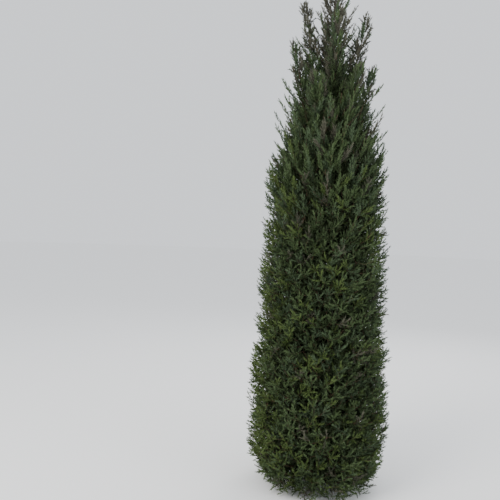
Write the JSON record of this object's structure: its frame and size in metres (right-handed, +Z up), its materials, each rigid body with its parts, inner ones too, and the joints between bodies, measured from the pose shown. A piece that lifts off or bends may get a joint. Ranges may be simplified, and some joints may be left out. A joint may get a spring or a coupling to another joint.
{
  "type": "chinese juniper",
  "caption": "Columnar evergreen conifer, dense scale foliage to the ground, upright feathery plumes round a pointed leader, cut flat at ground level.",
  "frame": {"origin": "centre of the trunk's flat cut at ground level", "axes": "+Z straight up the trunk to the leader's tip; the side towards -Y is the front of the picture"},
  "size_m": [0.8417, 0.8549, 3.2],
  "materials": {
    "bark": "fibrous peeling bark",
    "foliage": "matte scale needles",
    "bronzed_tips": "matte scale needles, brownish at the tips"
  },
  "bodies": {
    "root": {"high_plume_1": "bronzed_tips", "high_plume_2": "bronzed_tips", "high_plume_3": "bronzed_tips", "high_plume_4": "bronzed_tips", "leader_plume": "bronzed_tips", "lower_bough_1": "bark", "lower_bough_2": "bark", "lower_bough_3": "bark", "lower_bough_4": "bark", "lower_bough_5": "bark", "lower_mass_1": "foliage", "lower_mass_2": "foliage", "lower_mass_3": "foliage", "lower_mass_4": "foliage", "lower_mass_5": "foliage", "middle_bough_1": "bark", "middle_bough_2": "bark", "middle_bough_3": "bark", "middle_bough_4": "bark", "middle_mass_1": "foliage", "middle_mass_2": "foliage", "middle_mass_3": "foliage", "middle_mass_4": "foliage", "shoulder_bough_1": "bark", "shoulder_bough_2": "bark", "shoulder_bough_3": "bark", "shoulder_bough_4": "bark", "shoulder_mass_1": "foliage", "shoulder_mass_2": "foliage", "shoulder_mass_3": "foliage", "shoulder_mass_4": "foliage", "side_plume_1": "bronzed_tips", "side_plume_2": "bronzed_tips", "side_plume_3": "bronzed_tips", "side_plume_4": "bronzed_tips", "side_plume_5": "bronzed_tips", "side_plume_6": "bronzed_tips", "skirt_bough_1": "bark", "skirt_bough_2": "bark", "skirt_bough_3": "bark", "skirt_bough_4": "bark", "skirt_bough_5": "bark", "skirt_mass_1": "foliage", "skirt_mass_2": "foliage", "skirt_mass_3": "foliage", "skirt_mass_4": "foliage", "skirt_mass_5": "foliage", "trunk": "bark", "upper_bough_1": "bark", "upper_bough_2": "bark", "upper_bough_3": "bark", "upper_bough_4": "bark", "upper_mass_1": "foliage", "upper_mass_2": "foliage", "upper_mass_3": "foliage", "upper_mass_4": "foliage"}
  },
  "joints": []
}
